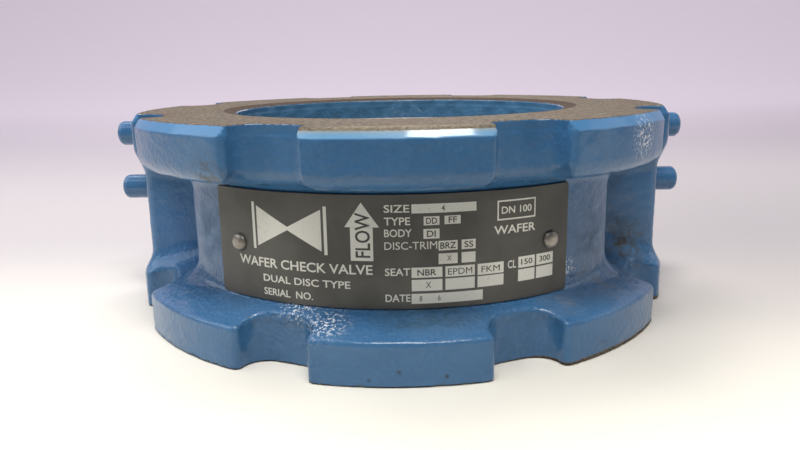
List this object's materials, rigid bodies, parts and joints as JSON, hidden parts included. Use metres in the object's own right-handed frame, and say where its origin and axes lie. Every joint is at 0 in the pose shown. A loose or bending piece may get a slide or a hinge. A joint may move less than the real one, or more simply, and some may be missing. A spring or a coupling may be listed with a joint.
{
  "type": "wafer check valve",
  "caption": "Dual-disc wafer check valve: notched cast body, sprung half-round discs on a hinge pin, stop pin and rubber seat.",
  "frame": {"origin": "centre of the inlet face", "axes": "+Z along the flow, from inlet face to outlet face; +X along the hinge pin; the nameplate faces -Y"},
  "size_m": [0.224, 0.201, 0.073],
  "materials": {
    "paint": "glossy enamel over a rough casting, face machined bare",
    "rubber": "matt black nitrile",
    "bronze": "cast aluminium bronze, faced and lightly tarnished",
    "steel": "ground stainless",
    "spring_steel": "drawn stainless wire",
    "ptfe": "white waxy plastic",
    "plate": "dark printed sheet metal, satin"
  },
  "bodies": {
    "casing": {"body_casting": "paint", "seat_ring": "rubber", "hinge_pin": "steel", "stop_pin": "steel", "hinge_pin_plug_left": "paint", "hinge_pin_plug_right": "paint", "stop_pin_plug_left": "paint", "stop_pin_plug_right": "paint", "body_bearing_left": "ptfe", "body_bearing_right": "ptfe", "disc_bearing_left": "ptfe", "disc_bearing_right": "ptfe", "spring_bearing_left": "ptfe", "spring_bearing_right": "ptfe", "nameplate": "plate", "nameplate_rivet_left": "steel", "nameplate_rivet_right": "steel"},
    "front_flap": {"front_disc": "bronze", "spring_left_front_half": "spring_steel", "spring_right_front_half": "spring_steel"},
    "rear_flap": {"rear_disc": "bronze", "spring_left_rear_half": "spring_steel", "spring_right_rear_half": "spring_steel"}
  },
  "joints": [
    {"name": "front_disc_hinge", "type": "hinge", "parent": "casing", "child": "front_flap", "pos_m": [0, 0, 0.0424], "axis": [-1, 0, 0], "range_deg": [0, 85], "stiffness_Nm_per_rad": 0.15, "springref_deg": -57.3},
    {"name": "rear_disc_hinge", "type": "hinge", "parent": "casing", "child": "rear_flap", "pos_m": [0, 0, 0.0424], "axis": [1, 0, 0], "range_deg": [0, 85], "stiffness_Nm_per_rad": 0.15, "springref_deg": -57.3}
  ]
}
